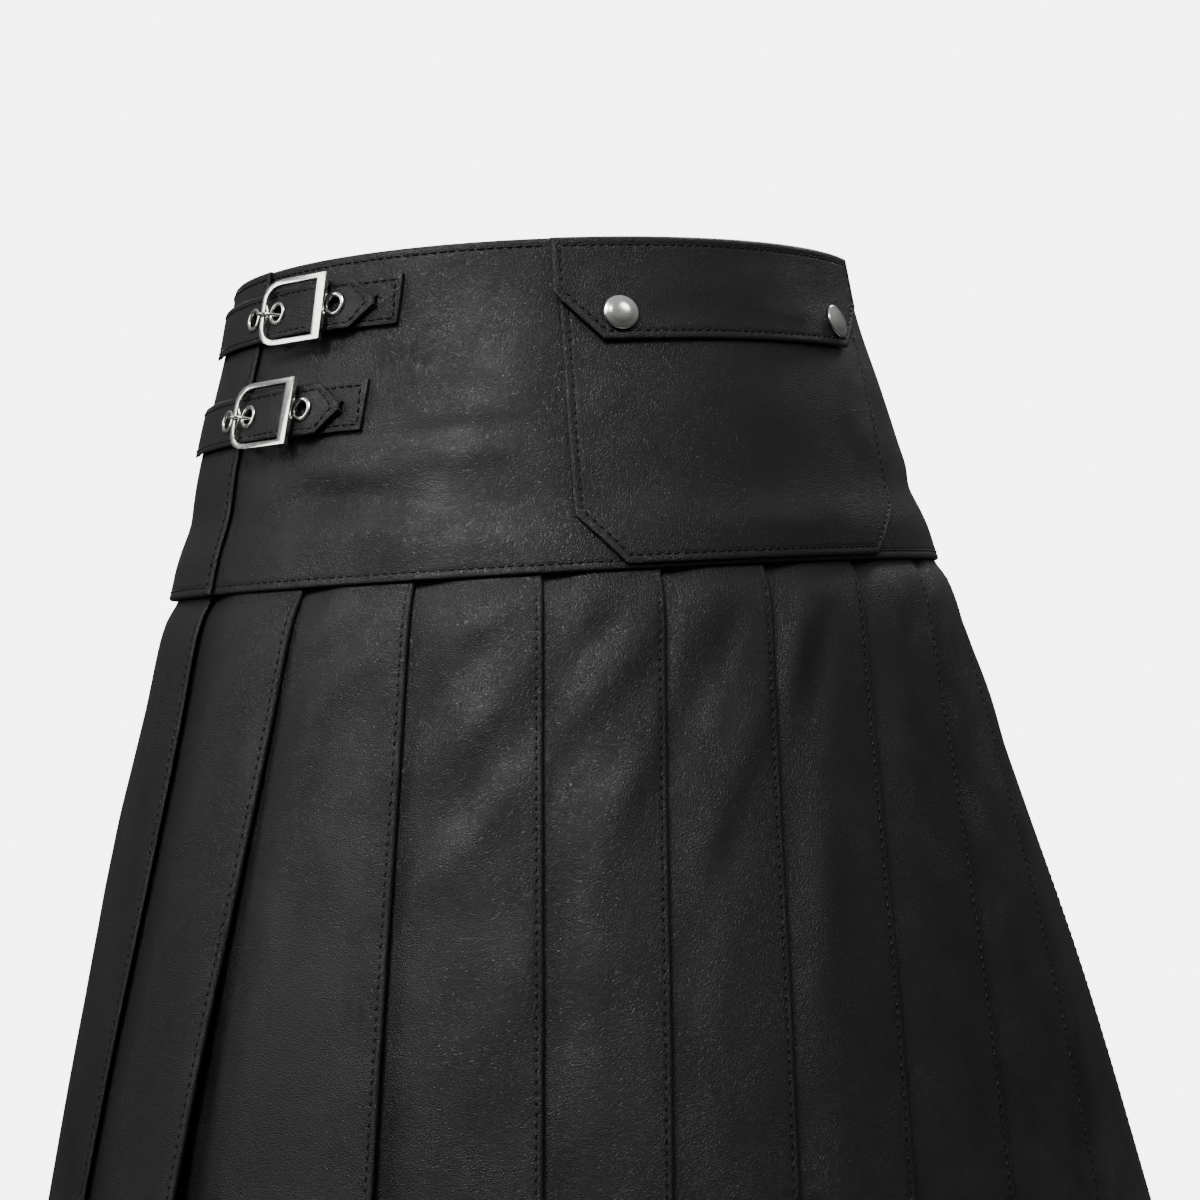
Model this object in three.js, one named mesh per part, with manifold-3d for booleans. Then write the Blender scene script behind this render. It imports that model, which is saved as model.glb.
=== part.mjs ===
// Leather wrap kilt, worn: a flat yoke over eleven knife pleats and a double apron that
// closes on the wearer's left hip with two buckled straps. Millimetres, +Z up.
// The waist edge lies at z = 0 round the origin, the front faces -Y, the wearer's left is +X.
// Angles go round the body in degrees: 0 front, 90 wearer's left, 180 back, 270 wearer's right.
import * as THREE from 'three';
import { mergeVertices } from 'three/addons/utils/BufferGeometryUtils.js';
import Module from 'manifold-3d';

const wasm = await Module();
wasm.setup();

// Driving dimensions
const GAP = 0.3;
const YOKE_LEATHER = 1.5;
const PLEAT_LEATHER = 1.2;
const YOKE_DROP = 144;
const KILT_LENGTH = 600;
const APRON_EDGE = 86.8;
const SKIRT_APRON_EDGE = 85;
const APRON_SEAM = -83;
const APRON_EDGE_SWING = 6;
const SEAM_ANGLE_GAP = 0.2;
const UNDER_APRON_JOIN = 71;
const UNDER_APRON_END = -58;
const UNDER_APRON_DEPTH = 2;
const PLEAT_UNDERLAP = 25;
const PLEAT_RISE = 24;
const FOLD_INSET = 1;

// Outer face of the yoke, one row for each level
const YOKE_ROWS = [
  { z: 0, halfWidth: 152, halfDepth: 137 },
  { z: -30, halfWidth: 159, halfDepth: 143 },
  { z: -60, halfWidth: 168, halfDepth: 151 },
  { z: -90, halfWidth: 176, halfDepth: 158.5 },
  { z: -110, halfWidth: 180.5, halfDepth: 163 },
  { z: -128, halfWidth: 187.5, halfDepth: 169.5 },
  { z: -144, halfWidth: 192, halfDepth: 173 },
];

// Outermost face of the skirt, which starts inside the yoke and springs out below its edge
const SKIRT_TUCK = YOKE_LEATHER + GAP;
const SKIRT_ROWS = [
  { z: -136, halfWidth: 189.7 - SKIRT_TUCK, halfDepth: 171.2 - SKIRT_TUCK },
  { z: -144.5, halfWidth: 192 - SKIRT_TUCK, halfDepth: 173 - SKIRT_TUCK },
  { z: -153, halfWidth: 195.5, halfDepth: 177 },
  { z: -165, halfWidth: 200, halfDepth: 181.5 },
  { z: -200, halfWidth: 209, halfDepth: 190.5 },
  { z: -260, halfWidth: 225, halfDepth: 207 },
  { z: -340, halfWidth: 246, halfDepth: 229 },
  { z: -430, halfWidth: 267, halfDepth: 250 },
  { z: -520, halfWidth: 287, halfDepth: 270 },
  { z: -600, halfWidth: 304, halfDepth: 287 },
];

// Fold edge of each pleat: its angle at the yoke, at mid length and at the hem, and how far
// the edge stands open at the hem
const FOLD_LEVELS = { yoke: -144, middle: -400, hem: -600 };
const PLEATS = [
  { name: 'pleat_01', yoke: 106, middle: 100, hem: 98.5, open: 13 },
  { name: 'pleat_02', yoke: 123.3, middle: 121.6, hem: 121, open: 6 },
  { name: 'pleat_03', yoke: 140.4, middle: 137, hem: 135.5, open: 2.5 },
  { name: 'pleat_04', yoke: 156, middle: 148.4, hem: 146, open: 1.5 },
  { name: 'pleat_05', yoke: 171, middle: 160, hem: 157, open: 1.5 },
  { name: 'pleat_06', yoke: 187, middle: 172, hem: 168.5, open: 1.5 },
  { name: 'pleat_07', yoke: 204.5, middle: 184.5, hem: 180.5, open: 2 },
  { name: 'pleat_08', yoke: 221, middle: 200, hem: 195, open: 2 },
  { name: 'pleat_09', yoke: 238, middle: 220, hem: 214, open: 3 },
  { name: 'pleat_10', yoke: 256, middle: 243, hem: 238, open: 6 },
  { name: 'pleat_11', yoke: 275.5, middle: 267, hem: 264, open: 10 },
];
const PLEAT_LEVELS = [-136, -144.5, -153, -165, -190, -225, -280, -350, -430, -515, -KILT_LENGTH];

// Pocket, flap and snap caps on the back of the yoke
const POCKET_LEFT = 144.8;
const POCKET_WIDTH = 181;
const POCKET_TOP = -14;
const POCKET_BOTTOM = -142;
const POCKET_CORNER = 22;
const POCKET_PUFF = 2;
const FLAP_OVERHANG = 1;
const FLAP_WIDTH = 182;
const FLAP_TOP = -0.6;
const FLAP_BOTTOM = -46;
const FLAP_CORNER = 21;
const FLAP_PUFF = 0.6;
const FLAP_STANDOFF = 1.8;
const SNAP_ANGLES = [154, 198];
const SNAP_DROP = -34.5;
const SNAP_RADIUS = 7.8;
const SNAP_HEIGHT = 2.6;

// Straps and buckles
const STRAP_WIDTH = 22;
const STRAP_THICK = 2.2;
const STRAP_TIP = 11;
const TIP_HALF_WIDTH = 1.5;
const CHAPE_THICK = 1;
const CHAPE_END = 50;
const CHAPE_SLOT = { length: 8.4, width: 5 };
const BUCKLE_PLANE = 8.2;
const BUCKLE_LENGTH = 39;
const BUCKLE_HEIGHT = 30;
const BUCKLE_WIRE = 2.2;
const BUCKLE_BAR = 5;
const HINGE_FORWARD = 10;
const HINGE_OUT = 3.2;
const HINGE_CLEARANCE = 0.8;
const HINGE_RADIUS = 1;
const YOKE_SLOPE = 15.6;
const BUCKLE_ROUND = 12;
const PRONG_RADIUS = 0.8;
const PRONG_EYE = { inner: 1.45, outer: 2.2, half: 1.6 };
const EYELET_HOLE = 3.4;
const EYELET_RIM = 5.5;
const EYELET_TUBE = 0.5;
const STRAPS = [
  { name: 'upper', buckle: 98.5, z: -22 },
  { name: 'lower', buckle: 95.3, z: -67 },
];

// Leather and metal
const leather = new THREE.MeshStandardMaterial({ color: 0x121214, roughness: 0.5, metalness: 0 });
const nickel = new THREE.MeshStandardMaterial({ color: 0xd4d4d0, roughness: 0.2, metalness: 1 });
const kilt = new THREE.Group();

function addMesh(name, geometry, material, parent = kilt) {
  const mesh = new THREE.Mesh(geometry, material);
  mesh.name = name;
  parent.add(mesh);
  return mesh;
}

// Smooth curve through the rows of a table, level by level
function rowValue(rows, z, column) {
  const last = rows.length - 1;
  let i = 0;
  while (i < last - 1 && z < rows[i + 1].z) i += 1;
  const slope = (k) => {
    const before = rows[Math.max(k - 1, 0)];
    const after = rows[Math.min(k + 1, last)];
    return (after[column] - before[column]) / (after.z - before.z);
  };
  const from = rows[i];
  const to = rows[i + 1];
  const span = to.z - from.z;
  const t = (z - from.z) / span;
  const rise = to[column] - from[column];
  const startBend = slope(i) * span - rise;
  const endBend = rise - slope(i + 1) * span;
  return from[column] + rise * t + t * (1 - t) * (startBend * (1 - t) + endBend * t);
}

// Point on the body at a level and an angle, moved straight out from the ring
function bodyPoint(rows, z, angle, out) {
  const a = rowValue(rows, z, 'halfWidth');
  const b = rowValue(rows, z, 'halfDepth');
  const turn = THREE.MathUtils.degToRad(angle);
  const normal = new THREE.Vector2(b * Math.sin(turn), -a * Math.cos(turn)).normalize();
  return new THREE.Vector3(a * Math.sin(turn) + normal.x * out, -b * Math.cos(turn) + normal.y * out, z);
}

function degreesPerMm(rows, z, angle) {
  const a = rowValue(rows, z, 'halfWidth');
  const b = rowValue(rows, z, 'halfDepth');
  const turn = THREE.MathUtils.degToRad(angle);
  return THREE.MathUtils.radToDeg(1 / Math.hypot(a * Math.cos(turn), b * Math.sin(turn)));
}

function smooth(t) {
  const u = Math.min(Math.max(t, 0), 1);
  return u * u * (3 - 2 * u);
}

// Closed wall between two grids of points with the same rows and columns. The rows go down
// and the columns go round with the angle.
function wallGeometry(outer, inner) {
  const rows = outer.length;
  const columns = outer[0].length;
  const points = [...outer.flat(), ...inner.flat()];
  const shift = rows * columns;
  const at = (row, column, side) => side * shift + row * columns + column;
  const triangles = [];
  const quad = (p, q, r, s) => triangles.push(p, q, r, p, r, s);
  for (let i = 0; i < rows - 1; i += 1) {
    for (let j = 0; j < columns - 1; j += 1) {
      quad(at(i, j, 0), at(i + 1, j, 0), at(i + 1, j + 1, 0), at(i, j + 1, 0));
      quad(at(i, j, 1), at(i, j + 1, 1), at(i + 1, j + 1, 1), at(i + 1, j, 1));
    }
    quad(at(i, 0, 0), at(i, 0, 1), at(i + 1, 0, 1), at(i + 1, 0, 0));
    quad(at(i, columns - 1, 0), at(i + 1, columns - 1, 0), at(i + 1, columns - 1, 1), at(i, columns - 1, 1));
  }
  for (let j = 0; j < columns - 1; j += 1) {
    quad(at(0, j, 0), at(0, j + 1, 0), at(0, j + 1, 1), at(0, j, 1));
    quad(at(rows - 1, j, 0), at(rows - 1, j, 1), at(rows - 1, j + 1, 1), at(rows - 1, j + 1, 0));
  }
  const geometry = new THREE.BufferGeometry().setFromPoints(points);
  geometry.setIndex(triangles);
  return geometry;
}

// A panel that follows the body between two angles, which may change with the level.
// out gives how far its outer face stands from the ring.
function panelGeometry({ rows, levels, columns, left, right, out, thickness }) {
  const grid = (depth) => levels.map((z) => {
    const from = left(z);
    const to = right(z);
    return Array.from({ length: columns + 1 }, (_, j) => {
      const angle = from + (to - from) * (j / columns);
      return bodyPoint(rows, z, angle, out(angle, z) - depth);
    });
  });
  return wallGeometry(grid(0), grid(thickness));
}

// Levels evenly spread from top to bottom
function levelsBetween(top, bottom, count) {
  return Array.from({ length: count + 1 }, (_, i) => top + (bottom - top) * (i / count));
}

// Fold angle of a pleat at a level, a parabola through its three measured places
function foldAngle(pleat, z) {
  const { yoke, middle, hem } = FOLD_LEVELS;
  const level = Math.min(z, yoke);
  const atYoke = ((level - middle) * (level - hem)) / ((yoke - middle) * (yoke - hem));
  const atMiddle = ((level - yoke) * (level - hem)) / ((middle - yoke) * (middle - hem));
  const atHem = ((level - yoke) * (level - middle)) / ((hem - yoke) * (hem - middle));
  return pleat.yoke * atYoke + pleat.middle * atMiddle + pleat.hem * atHem;
}

// Wall along a path of [mm to the right, mm out] points at each level, half its thickness
// to either side of the path
function pathWall(rows, levels, pathAt, thickness) {
  const side = (offset) => levels.map((z) => {
    const { anchor, points } = pathAt(z);
    const perMm = degreesPerMm(rows, z, anchor);
    return points.map(([x, y], i) => {
      const before = points[Math.max(i - 1, 0)];
      const after = points[Math.min(i + 1, points.length - 1)];
      const along = new THREE.Vector2(after[0] - before[0], after[1] - before[1]).normalize();
      return bodyPoint(rows, z, anchor + (x - along.y * offset) * perMm, y + along.x * offset);
    });
  });
  return wallGeometry(side(thickness / 2), side(-thickness / 2));
}

// Yoke: the back goes round from under the apron edge to the right hip seam
const yokeLevels = levelsBetween(0, -YOKE_DROP, 9);
addMesh('yoke_back', panelGeometry({
  rows: YOKE_ROWS,
  levels: yokeLevels,
  columns: 30,
  left: () => UNDER_APRON_JOIN + SEAM_ANGLE_GAP,
  right: () => 360 + APRON_SEAM - SEAM_ANGLE_GAP,
  out: () => 0,
  thickness: YOKE_LEATHER,
}), leather);

addMesh('yoke_under_apron', panelGeometry({
  rows: YOKE_ROWS,
  levels: yokeLevels,
  columns: 18,
  left: () => UNDER_APRON_END,
  right: () => UNDER_APRON_JOIN,
  out: () => 0,
  thickness: YOKE_LEATHER,
}), leather);

// The over apron's yoke starts flush at the right hip seam and climbs over the under apron
const OVER_APRON_LIFT = YOKE_LEATHER + 2 * GAP;
const APRON_CLIMB = 18;
addMesh('yoke_over_apron', panelGeometry({
  rows: YOKE_ROWS,
  levels: yokeLevels,
  columns: 24,
  left: () => APRON_SEAM,
  right: () => APRON_EDGE,
  out: (angle) => OVER_APRON_LIFT * smooth((angle - APRON_SEAM) / APRON_CLIMB),
  thickness: YOKE_LEATHER,
}), leather);

// Pleats: underlap, face that climbs to its fold edge, round fold and return. The return
// lifts a little less than the face, so they stay apart where the pleat stands open.
const LAYER = PLEAT_LEATHER + GAP;
const TOP_LAYER = -PLEAT_LEATHER / 2;
const RETURN_LAYER = TOP_LAYER - LAYER;
const UNDER_LAYER = RETURN_LAYER - LAYER;
const OPEN_START = 0.35;
const RETURN_LIFT_SHARE = 0.96;

function foldOpening(pleat, z) {
  const down = (FOLD_LEVELS.yoke - z) / (FOLD_LEVELS.yoke - FOLD_LEVELS.hem);
  return pleat.open * smooth(down);
}

function pleatPath(pleat, previousAngle, z) {
  const anchor = foldAngle(pleat, z);
  const perMm = degreesPerMm(SKIRT_ROWS, z, anchor);
  const width = (anchor - previousAngle(z)) / perMm;
  const open = foldOpening(pleat, z);
  const lift = (x) => open * smooth(1 + x / (width * (1 - OPEN_START)));
  const points = [1, 0.5, 0].map((t) => [-width - PLEAT_UNDERLAP * t, UNDER_LAYER]);
  for (const t of [0.25, 0.5, 0.75, 1]) {
    const x = -width + PLEAT_RISE * t;
    points.push([x, UNDER_LAYER + (TOP_LAYER - UNDER_LAYER) * smooth(t) + lift(x)]);
  }
  const flat = width - PLEAT_RISE;
  for (const t of [0.5, 1]) {
    const x = -flat * (1 - t) - FOLD_INSET * t;
    points.push([x, TOP_LAYER + lift(x)]);
  }
  const foldRadius = LAYER / 2;
  for (const turn of [45, 90, 135]) {
    const angle = THREE.MathUtils.degToRad(turn);
    const x = foldRadius * Math.sin(angle) - FOLD_INSET;
    points.push([x, TOP_LAYER - foldRadius * (1 - Math.cos(angle)) + open]);
  }
  for (const t of [0.04, 0.5, 1]) {
    const x = -PLEAT_UNDERLAP * t;
    points.push([x, RETURN_LAYER + lift(x) * RETURN_LIFT_SHARE]);
  }
  return { anchor, points };
}

function apronEdgeAt(z) {
  const down = (-z - YOKE_DROP) / (KILT_LENGTH - YOKE_DROP);
  return SKIRT_APRON_EDGE - APRON_EDGE_SWING * smooth(down);
}

PLEATS.forEach((pleat, i) => {
  const previousAngle = i === 0 ? apronEdgeAt : (z) => foldAngle(PLEATS[i - 1], z);
  const path = (z) => pleatPath(pleat, previousAngle, z);
  addMesh(pleat.name, pathWall(SKIRT_ROWS, PLEAT_LEVELS, path, PLEAT_LEATHER), leather);
});

// Aprons of the skirt. The over apron comes out from under the last pleat, the under apron
// hangs one layer below it and reaches back to the first pleat.
const lastPleat = PLEATS[PLEATS.length - 1];

function apronStart(z) {
  const underlap = PLEAT_UNDERLAP * degreesPerMm(SKIRT_ROWS, z, 270);
  return foldAngle(lastPleat, z) - 360 - underlap;
}

function apronOut(angle, z) {
  const fold = foldAngle(lastPleat, z) - 360;
  const climb = PLEAT_RISE * degreesPerMm(SKIRT_ROWS, z, 270);
  return (UNDER_LAYER - TOP_LAYER) * (1 - smooth((angle - fold) / climb));
}
addMesh('skirt_over_apron', panelGeometry({
  rows: SKIRT_ROWS,
  levels: PLEAT_LEVELS,
  columns: 26,
  left: apronStart,
  right: apronEdgeAt,
  out: apronOut,
  thickness: PLEAT_LEATHER,
}), leather);

// The under apron stops short of the first pleat's underlap
function underApronEnd(z) {
  const underlap = (PLEAT_UNDERLAP + GAP) * degreesPerMm(SKIRT_ROWS, z, 90);
  return apronEdgeAt(z) - underlap - 3 * SEAM_ANGLE_GAP;
}

addMesh('skirt_under_apron', panelGeometry({
  rows: SKIRT_ROWS,
  levels: PLEAT_LEVELS,
  columns: 18,
  left: () => UNDER_APRON_END,
  right: underApronEnd,
  out: () => -UNDER_APRON_DEPTH,
  thickness: PLEAT_LEATHER,
}), leather);

// Pocket and flap: plates with cut-off lower corners that follow the yoke
function cornerCut(z, bottom, corner) {
  return Math.max(0, corner - (z - bottom));
}

function plateGeometry({ top, bottom, corner, left, width, base, thickness, puff, count }) {
  const straight = levelsBetween(top, bottom + corner, count);
  const levels = [...straight, ...levelsBetween(bottom + corner, bottom, 3).slice(1)];
  const edge = (z, fromLeft) => left + fromLeft * degreesPerMm(YOKE_ROWS, z, 180);
  const leftAt = (z) => edge(z, cornerCut(z, bottom, corner));
  const rightAt = (z) => edge(z, width - cornerCut(z, bottom, corner));
  return panelGeometry({
    rows: YOKE_ROWS,
    levels,
    columns: 14,
    left: leftAt,
    right: rightAt,
    out: (angle, z) => {
      const across = (angle - leftAt(z)) / (rightAt(z) - leftAt(z));
      const down = (top - z) / (top - bottom);
      return base + thickness + puff * Math.sin(Math.PI * across) * Math.sin(Math.PI * down);
    },
    thickness,
  });
}

addMesh('pocket', plateGeometry({
  top: POCKET_TOP,
  bottom: POCKET_BOTTOM,
  corner: POCKET_CORNER,
  left: POCKET_LEFT,
  width: POCKET_WIDTH,
  base: GAP,
  thickness: YOKE_LEATHER,
  puff: POCKET_PUFF,
  count: 7,
}), leather);

const FLAP_BASE = GAP + YOKE_LEATHER + FLAP_STANDOFF;
addMesh('pocket_flap', plateGeometry({
  top: FLAP_TOP,
  bottom: FLAP_BOTTOM,
  corner: FLAP_CORNER,
  left: POCKET_LEFT - FLAP_OVERHANG,
  width: FLAP_WIDTH,
  base: FLAP_BASE,
  thickness: YOKE_LEATHER,
  puff: FLAP_PUFF,
  count: 3,
}), leather);

// A group at a place on the yoke: x to the right along the body, y up its slope, z off its face
function placeOnYoke(angle, z, out) {
  const group = new THREE.Group();
  const upward = bodyPoint(YOKE_ROWS, z + 2, angle, 0).sub(bodyPoint(YOKE_ROWS, z - 2, angle, 0)).normalize();
  const straight = bodyPoint(YOKE_ROWS, z, angle, 1).sub(bodyPoint(YOKE_ROWS, z, angle, 0));
  const across = new THREE.Vector3().crossVectors(upward, straight).normalize();
  const outward = new THREE.Vector3().crossVectors(across, upward);
  const place = bodyPoint(YOKE_ROWS, z, angle, out);
  group.matrixAutoUpdate = false;
  group.matrix.makeBasis(across, upward, outward).setPosition(place);
  kilt.add(group);
  return group;
}

// Domed snap caps on the flap
function latheAlongOut(profile, sides) {
  const geometry = new THREE.LatheGeometry(profile.map(([r, y]) => new THREE.Vector2(r, y)), sides);
  return geometry.rotateX(Math.PI / 2);
}

SNAP_ANGLES.forEach((angle, i) => {
  const flapFace = FLAP_BASE + YOKE_LEATHER + FLAP_PUFF;
  const group = placeOnYoke(angle, SNAP_DROP, flapFace + GAP);
  const dome = [[SNAP_RADIUS - 0.5, 1.2], [SNAP_RADIUS * 0.62, SNAP_HEIGHT - 0.5], [0, SNAP_HEIGHT]];
  const cap = [[0, 0], [SNAP_RADIUS - 0.8, 0], [SNAP_RADIUS, 0.5], ...dome];
  addMesh(`snap_${i + 1}`, latheAlongOut(cap, 20), nickel, group);
});

// Solids for cutting and joining
function solidOf(geometry) {
  const plain = geometry.clone();
  plain.deleteAttribute('normal');
  plain.deleteAttribute('uv');
  const merged = mergeVertices(plain, 1e-4);
  const vertProperties = new Float32Array(merged.attributes.position.array);
  const triVerts = new Uint32Array(merged.index.array);
  return new wasm.Manifold(new wasm.Mesh({ numProp: 3, vertProperties, triVerts }));
}

function geometryOf(solid) {
  const mesh = solid.getMesh();
  const geometry = new THREE.BufferGeometry();
  geometry.setAttribute('position', new THREE.BufferAttribute(new Float32Array(mesh.vertProperties), 3));
  geometry.setIndex(new THREE.BufferAttribute(new Uint32Array(mesh.triVerts), 1));
  return geometry;
}

// Height of the strap's middle above the yoke, along the strap from the buckle's middle
const STRAP_ROUTE = [
  { along: -86, out: 3.9 },
  { along: -72, out: 3.9 },
  { along: -58, out: 3.9 },
  { along: -47, out: 3.9 },
  { along: -37, out: 3.9 },
  { along: -27, out: 3.9 },
  { along: -22, out: 4.6 },
  { along: -17, out: 5.4 },
  { along: -6, out: 5.8 },
  { along: 3, out: 7.1 },
  { along: 11, out: 7.4 },
  { along: 15.6, out: 4.4 },
  { along: 25.4, out: 4.4 },
  { along: 28.5, out: 4.2 },
  { along: 34, out: 4.2 },
  { along: 39.5, out: 4.2 },
];
const STRAP_END = STRAP_ROUTE[STRAP_ROUTE.length - 1].along;
const EYELET_PLACES = [-32, -11.5, 20.5];

function strapOut(along) {
  let i = 0;
  while (i < STRAP_ROUTE.length - 2 && along > STRAP_ROUTE[i + 1].along) i += 1;
  const from = STRAP_ROUTE[i];
  const to = STRAP_ROUTE[i + 1];
  return from.out + ((to.out - from.out) * (along - from.along)) / (to.along - from.along);
}

function strapGeometry(strap) {
  const perMm = degreesPerMm(YOKE_ROWS, strap.z, strap.buckle);
  const half = STRAP_WIDTH / 2;
  const taper = (half - TIP_HALF_WIDTH) / STRAP_TIP;
  const halfWidthAt = (along) => Math.min(half, TIP_HALF_WIDTH + (STRAP_END - along) * taper);
  const grid = (side) => [1, 1 / 3, -1 / 3, -1].map((up) => STRAP_ROUTE.map(({ along, out }) => bodyPoint(
    YOKE_ROWS,
    strap.z + up * halfWidthAt(along),
    strap.buckle + along * perMm,
    out + (side * STRAP_THICK) / 2,
  )));
  return wallGeometry(grid(1), grid(-1));
}

// Group for a piece that lies at a place along a strap
function placeAlongStrap(strap, along, out) {
  const perMm = degreesPerMm(YOKE_ROWS, strap.z, strap.buckle);
  return placeOnYoke(strap.buckle + along * perMm, strap.z, out);
}

function cutterAlongStrap(strap, along, out, geometry) {
  const group = placeAlongStrap(strap, along, out);
  const cutter = solidOf(geometry.applyMatrix4(group.matrix));
  kilt.remove(group);
  return cutter;
}

// The chape: a doubled leather tab sewn to the yoke, folded round the buckle's hinge bar,
// with a slot for the prong
function chapeGeometry(strap) {
  const perMm = degreesPerMm(YOKE_ROWS, strap.z, strap.buckle);
  const low = GAP + CHAPE_THICK / 2;
  const high = HINGE_OUT + HINGE_RADIUS + HINGE_CLEARANCE + CHAPE_THICK / 2;
  const rest = low + CHAPE_THICK + GAP;
  const reach = HINGE_OUT - low;
  const points = [CHAPE_END, 43, 36, 29, 20, HINGE_FORWARD].map((along) => [along, low]);
  for (const turn of [45, 90, 135]) {
    const angle = THREE.MathUtils.degToRad(turn);
    points.push([HINGE_FORWARD - reach * Math.sin(angle), HINGE_OUT - reach * Math.cos(angle)]);
  }
  points.push([HINGE_FORWARD, high], [12, high - 1.3], [14, rest + 0.8], [16, rest + 0.1], [18, rest]);
  points.push(...[24, 29, 36, 43, CHAPE_END].map((along) => [along, rest]));
  const levels = levelsBetween(strap.z + STRAP_WIDTH / 2, strap.z - STRAP_WIDTH / 2, 2);
  const path = () => ({ anchor: strap.buckle, points });
  const wall = solidOf(pathWall(YOKE_ROWS, levels, path, CHAPE_THICK));
  const slot = new THREE.BoxGeometry(CHAPE_SLOT.length, CHAPE_SLOT.width, 2 * BUCKLE_PLANE);
  return geometryOf(wall.subtract(cutterAlongStrap(strap, HINGE_FORWARD - 1, BUCKLE_PLANE, slot)));
}

// The hinge bar's place below the buckle's plane, square to the sloping yoke
const HINGE_DEPTH = (HINGE_OUT - BUCKLE_PLANE) * Math.cos(THREE.MathUtils.degToRad(YOKE_SLOPE));

// Buckle: D-shaped frame with a wide flat bar on the right and a hinge bar set below it
function buckleGeometry() {
  const half = BUCKLE_HEIGHT / 2;
  const left = -BUCKLE_LENGTH / 2;
  const right = BUCKLE_LENGTH / 2;
  const dShape = (shape, x0, x1, y, round) => {
    shape.moveTo(x1, -y);
    shape.lineTo(x1, y);
    shape.lineTo(x0 + round, y);
    shape.quadraticCurveTo(x0, y, x0, y - round * 0.8);
    shape.lineTo(x0, -y + round * 0.8);
    shape.quadraticCurveTo(x0, -y, x0 + round, -y);
    shape.closePath();
    return shape;
  };
  const outline = dShape(new THREE.Shape(), left, right, half, BUCKLE_ROUND);
  const opening = new THREE.Path();
  dShape(opening, left + BUCKLE_WIRE, right - BUCKLE_BAR, half - BUCKLE_WIRE, BUCKLE_ROUND - 2);
  outline.holes.push(opening);
  const flat = { depth: BUCKLE_WIRE, bevelEnabled: false, curveSegments: 5 };
  const frame = new THREE.ExtrudeGeometry(outline, flat);
  frame.translate(0, 0, -BUCKLE_WIRE / 2);
  const hinge = new THREE.CylinderGeometry(HINGE_RADIUS, HINGE_RADIUS, BUCKLE_HEIGHT - BUCKLE_WIRE, 10);
  hinge.translate(HINGE_FORWARD, 0, HINGE_DEPTH);
  let solid = solidOf(frame).add(solidOf(hinge));
  for (const side of [-1, 1]) {
    const post = new THREE.BoxGeometry(1.9, BUCKLE_WIRE * 0.9, -HINGE_DEPTH);
    post.translate(HINGE_FORWARD, side * (half - BUCKLE_WIRE / 2), HINGE_DEPTH / 2);
    solid = solid.add(solidOf(post));
  }
  return geometryOf(solid);
}

// Prong: an eye round the hinge bar and a pin that comes up through the eyelet onto the rim
function prongGeometry() {
  const { inner, outer, half } = PRONG_EYE;
  const eyeProfile = [[inner, -half], [outer, -half], [outer, half], [inner, half], [inner, -half]];
  const eye = new THREE.LatheGeometry(eyeProfile.map(([r, y]) => new THREE.Vector2(r, y)), 12);
  eye.translate(HINGE_FORWARD, 0, HINGE_DEPTH);
  const route = [
    [8.1, -5], [3, -5], [-3, -5.1], [-7.2, -5.2], [-9.9, -4.1],
    [-12.9, -0.9], [-15.2, 1.7], [-18.4, 2.4], [-20.6, 2.1],
  ];
  const curve = new THREE.CatmullRomCurve3(route.map(([x, z]) => new THREE.Vector3(x, 0, z)));
  const section = new THREE.Shape().absarc(0, 0, PRONG_RADIUS, 0, Math.PI * 2);
  const pin = new THREE.ExtrudeGeometry(section, { steps: 12, extrudePath: curve, curveSegments: 4 });
  return geometryOf(solidOf(eye).add(solidOf(pin)));
}

function eyeletGeometry() {
  const half = STRAP_THICK / 2;
  const wall = EYELET_HOLE + EYELET_TUBE;
  const profile = [
    [EYELET_HOLE, -half], [wall, -half], [wall, half + GAP], [EYELET_RIM, half + GAP],
    [EYELET_RIM - 0.6, half + 0.9], [EYELET_HOLE + 0.4, half + 0.9], [EYELET_HOLE, half + 0.5],
    [EYELET_HOLE, -half],
  ];
  return latheAlongOut(profile, 12);
}

for (const strap of STRAPS) {
  let leatherSolid = solidOf(strapGeometry(strap));
  for (const along of EYELET_PLACES) {
    const holeRadius = EYELET_HOLE + EYELET_TUBE + GAP;
    const hole = new THREE.CylinderGeometry(holeRadius, holeRadius, 30, 12).rotateX(Math.PI / 2);
    leatherSolid = leatherSolid.subtract(cutterAlongStrap(strap, along, strapOut(along), hole));
  }
  addMesh(`strap_${strap.name}`, geometryOf(leatherSolid), leather);
  EYELET_PLACES.forEach((along, i) => {
    const group = placeAlongStrap(strap, along, strapOut(along));
    addMesh(`eyelet_${strap.name}_${i + 1}`, eyeletGeometry(), nickel, group);
  });
  addMesh(`chape_${strap.name}`, chapeGeometry(strap), leather);
  const group = placeAlongStrap(strap, 0, BUCKLE_PLANE);
  addMesh(`buckle_${strap.name}`, buckleGeometry(), nickel, group);
  addMesh(`prong_${strap.name}`, prongGeometry(), nickel, group);
}

export default kilt;
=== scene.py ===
import bisect
import math

import bmesh
import bpy
from mathutils import Matrix, Vector


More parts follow.
